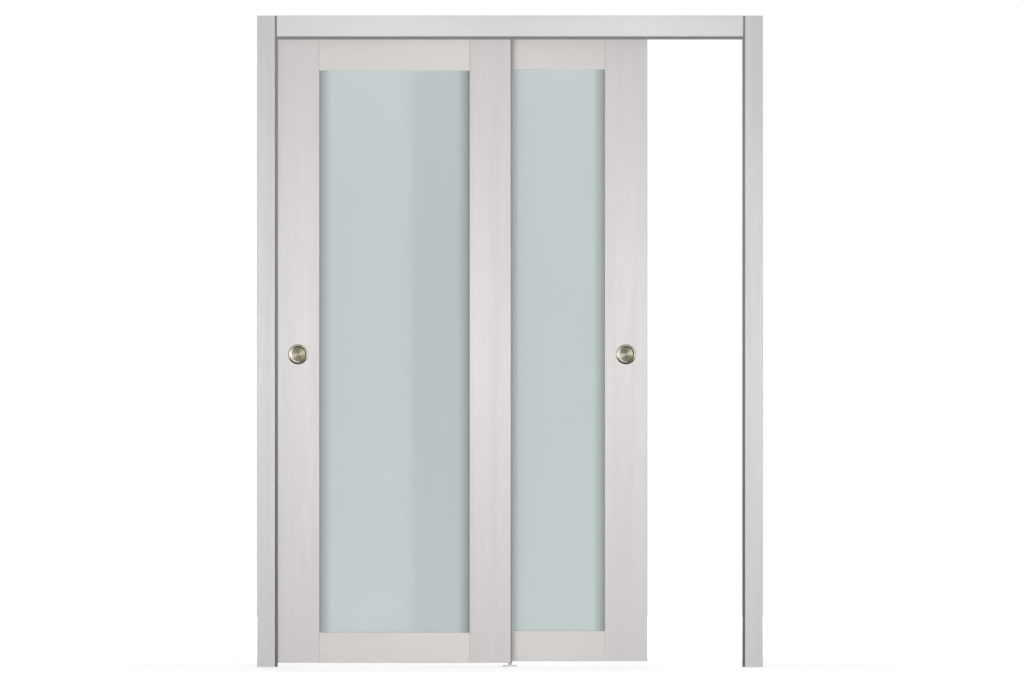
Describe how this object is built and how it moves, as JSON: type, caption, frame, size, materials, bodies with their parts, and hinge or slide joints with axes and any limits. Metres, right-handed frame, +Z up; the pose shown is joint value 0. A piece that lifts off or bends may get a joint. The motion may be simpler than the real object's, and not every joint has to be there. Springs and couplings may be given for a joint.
{
  "type": "pair of bypass doors",
  "caption": "Bypass doors with frosted glass panes that slide past each other on a hidden track, in a cased wooden frame, with round flush pulls.",
  "frame": {"origin": "on the floor, at the middle of the frame's width and depth", "axes": "+X to the right seen from the room side, +Y through the wall away from the room, +Z up"},
  "size_m": [1.636, 0.128, 2.1085],
  "materials": {
    "casing_wood": "pale grey woodgrain, satin",
    "lining_wood": "pale grey woodgrain, satin",
    "stile_wood": "pale grey upright woodgrain, satin",
    "rail_wood": "pale grey level woodgrain, satin",
    "frosted_glass": "frosted, pale blue-green",
    "seal_rubber": "matt dark grey",
    "gasket_rubber": "matt light grey",
    "dowel_wood": "bare beech",
    "pull_metal": "brushed in circles, aged warm grey",
    "track_aluminium": "mill, drawn along its length",
    "trolley_metal": "die-cast, matt",
    "zinc_steel": "zinc plated",
    "nylon": "moulded, off-white",
    "pad_rubber": "black, matt"
  },
  "bodies": {
    "frame": {"left_jamb": "lining_wood", "right_jamb": "lining_wood", "head_jamb": "lining_wood", "corner_screws": "zinc_steel", "left_casing": "casing_wood", "right_casing": "casing_wood", "head_casing": "casing_wood", "left_seal": "seal_rubber", "right_seal": "seal_rubber", "head_seal": "seal_rubber", "track": "track_aluminium", "track_screws": "zinc_steel", "front_left_stop": "nylon", "front_right_stop": "nylon", "rear_left_stop": "nylon", "rear_right_stop": "nylon", "stop_pads": "pad_rubber", "stop_screws": "zinc_steel", "floor_guide": "nylon"},
    "front_door": {"front_left_stile": "stile_wood", "front_right_stile": "stile_wood", "front_top_rail": "rail_wood", "front_bottom_rail": "rail_wood", "front_glass": "frosted_glass", "front_gasket": "gasket_rubber", "front_dowels": "dowel_wood", "front_pull": "pull_metal", "front_left_plate": "zinc_steel", "front_right_plate": "zinc_steel", "front_plate_screws": "zinc_steel", "front_hanger_bolts": "zinc_steel", "front_lock_nuts": "zinc_steel", "front_left_trolley": "trolley_metal", "front_right_trolley": "trolley_metal", "front_axles": "zinc_steel"},
    "rear_door": {"rear_left_stile": "stile_wood", "rear_right_stile": "stile_wood", "rear_top_rail": "rail_wood", "rear_bottom_rail": "rail_wood", "rear_glass": "frosted_glass", "rear_gasket": "gasket_rubber", "rear_dowels": "dowel_wood", "rear_pull": "pull_metal", "rear_left_plate": "zinc_steel", "rear_right_plate": "zinc_steel", "rear_plate_screws": "zinc_steel", "rear_hanger_bolts": "zinc_steel", "rear_lock_nuts": "zinc_steel", "rear_left_trolley": "trolley_metal", "rear_right_trolley": "trolley_metal", "rear_axles": "zinc_steel"},
    "front_left_outer_wheelset": {"front_left_outer_wheels": "nylon"},
    "front_left_inner_wheelset": {"front_left_inner_wheels": "nylon"},
    "front_right_inner_wheelset": {"front_right_inner_wheels": "nylon"},
    "front_right_outer_wheelset": {"front_right_outer_wheels": "nylon"},
    "rear_left_outer_wheelset": {"rear_left_outer_wheels": "nylon"},
    "rear_left_inner_wheelset": {"rear_left_inner_wheels": "nylon"},
    "rear_right_inner_wheelset": {"rear_right_inner_wheels": "nylon"},
    "rear_right_outer_wheelset": {"rear_right_outer_wheels": "nylon"}
  },
  "joints": [
    {"name": "front_slide", "type": "slide", "parent": "frame", "child": "front_door", "axis": [1, 0, 0], "range_m": [0, 0.748]},
    {"name": "rear_slide", "type": "slide", "parent": "frame", "child": "rear_door", "axis": [1, 0, 0], "range_m": [-0.438, 0.31]},
    {"name": "front_left_outer_roll", "type": "hinge", "parent": "front_door", "child": "front_left_outer_wheelset", "pos_m": [-0.701, -0.026, 2.0668], "axis": [0, 1, 0], "continuous": true},
    {"name": "front_left_inner_roll", "type": "hinge", "parent": "front_door", "child": "front_left_inner_wheelset", "pos_m": [-0.671, -0.026, 2.0668], "axis": [0, 1, 0], "continuous": true},
    {"name": "front_right_inner_roll", "type": "hinge", "parent": "front_door", "child": "front_right_inner_wheelset", "pos_m": [-0.077, -0.026, 2.0668], "axis": [0, 1, 0], "continuous": true},
    {"name": "front_right_outer_roll", "type": "hinge", "parent": "front_door", "child": "front_right_outer_wheelset", "pos_m": [-0.047, -0.026, 2.0668], "axis": [0, 1, 0], "continuous": true},
    {"name": "rear_left_outer_roll", "type": "hinge", "parent": "rear_door", "child": "rear_left_outer_wheelset", "pos_m": [-0.263, 0.026, 2.0668], "axis": [0, 1, 0], "continuous": true},
    {"name": "rear_left_inner_roll", "type": "hinge", "parent": "rear_door", "child": "rear_left_inner_wheelset", "pos_m": [-0.233, 0.026, 2.0668], "axis": [0, 1, 0], "continuous": true},
    {"name": "rear_right_inner_roll", "type": "hinge", "parent": "rear_door", "child": "rear_right_inner_wheelset", "pos_m": [0.361, 0.026, 2.0668], "axis": [0, 1, 0], "continuous": true},
    {"name": "rear_right_outer_roll", "type": "hinge", "parent": "rear_door", "child": "rear_right_outer_wheelset", "pos_m": [0.391, 0.026, 2.0668], "axis": [0, 1, 0], "continuous": true}
  ],
  "couplings": [
    {"joint": "front_left_outer_roll", "follows": "front_slide", "rad_per_m": 117.65},
    {"joint": "front_left_inner_roll", "follows": "front_slide", "rad_per_m": 117.65},
    {"joint": "front_right_inner_roll", "follows": "front_slide", "rad_per_m": 117.65},
    {"joint": "front_right_outer_roll", "follows": "front_slide", "rad_per_m": 117.65},
    {"joint": "rear_left_outer_roll", "follows": "rear_slide", "rad_per_m": 117.65},
    {"joint": "rear_left_inner_roll", "follows": "rear_slide", "rad_per_m": 117.65},
    {"joint": "rear_right_inner_roll", "follows": "rear_slide", "rad_per_m": 117.65},
    {"joint": "rear_right_outer_roll", "follows": "rear_slide", "rad_per_m": 117.65}
  ]
}
